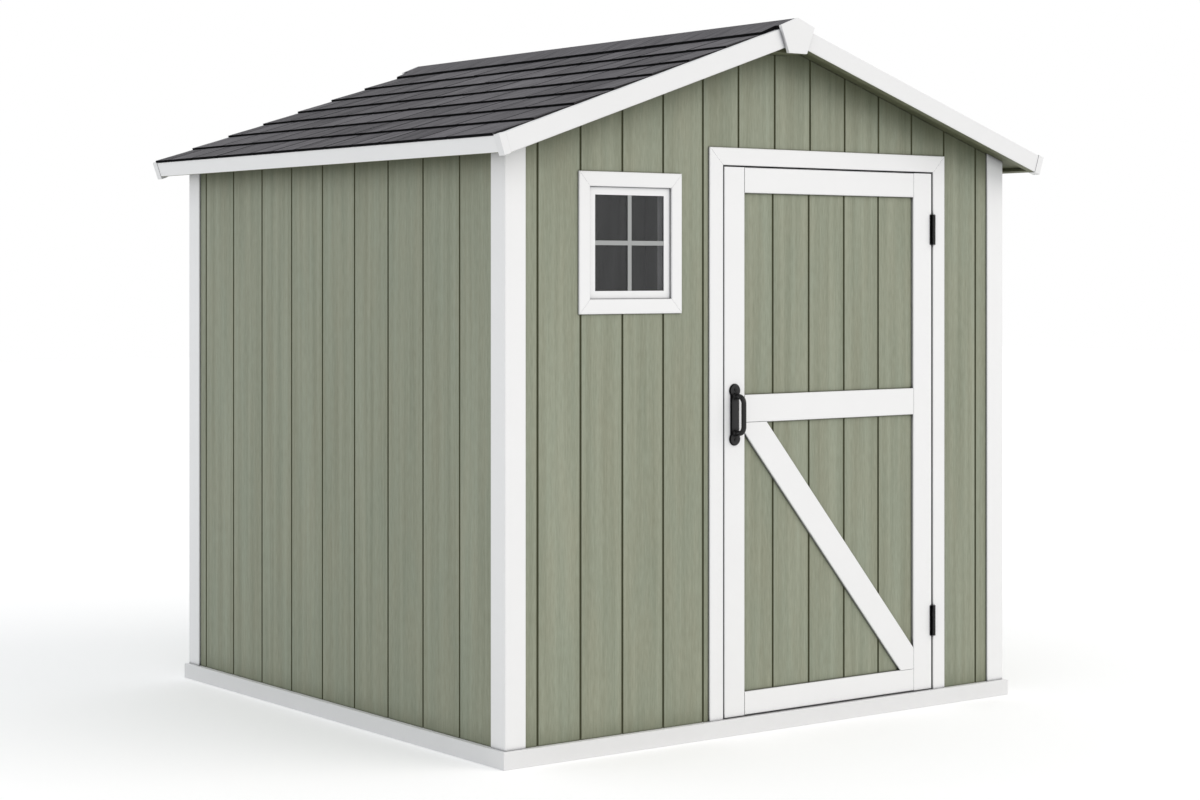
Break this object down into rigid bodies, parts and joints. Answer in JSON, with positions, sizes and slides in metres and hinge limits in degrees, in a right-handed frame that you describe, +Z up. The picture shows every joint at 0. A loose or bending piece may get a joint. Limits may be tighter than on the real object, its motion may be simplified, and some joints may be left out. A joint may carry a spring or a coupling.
{
  "type": "resin garden shed",
  "caption": "Hollow resin garden shed with grooved wall panels, a gable roof with stepped shingle courses, a fixed window and a hinged front door.",
  "frame": {"origin": "centre of the footprint, on the ground under the base skirt", "axes": "+X to the right along the front, -Y out of the door, +Z up"},
  "size_m": [2.2668, 2.214, 2.2475],
  "materials": {
    "wall": "sage resin, moulded wood grain",
    "trim": "white resin, satin",
    "roof": "charcoal resin, shingle texture",
    "floor": "grey resin",
    "glass": "tinted glazing sheet",
    "hardware": "black powder coat"
  },
  "bodies": {
    "shell": {"floor_panel": "floor", "base_front": "trim", "base_back": "trim", "base_left": "trim", "base_right": "trim", "front_wall_left": "wall", "front_wall_right": "wall", "front_wall_head": "wall", "back_wall": "wall", "left_wall": "wall", "right_wall": "wall", "corner_front_left": "trim", "corner_front_right": "trim", "corner_back_left": "trim", "corner_back_right": "trim", "roof_panel_left": "wall", "roof_panel_right": "wall", "shingles_left": "roof", "shingles_right": "roof", "ridge_cap": "roof", "ridge_beam": "wall", "fascia_left": "trim", "fascia_right": "trim", "barge_front_left": "trim", "barge_front_right": "trim", "barge_back_left": "trim", "barge_back_right": "trim", "gable_cap_front": "trim", "gable_cap_back": "trim", "window_casing": "trim", "window_sash": "trim", "window_glass": "glass", "door_casing_left": "trim", "door_casing_right": "trim", "door_casing_head": "trim", "hinges_frame_side": "hardware"},
    "door_leaf": {"door_infill": "wall", "door_stile_left": "trim", "door_stile_right": "trim", "door_top_rail": "trim", "door_bottom_rail": "trim", "door_lock_rail": "trim", "door_brace": "trim", "hinges_door_side": "hardware", "door_handle": "hardware"}
  },
  "joints": [
    {"name": "door_hinge", "type": "hinge", "parent": "shell", "child": "door_leaf", "pos_m": [0.7015, -0.999, 0], "axis": [0, 0, 1], "range_deg": [0, 110]}
  ]
}
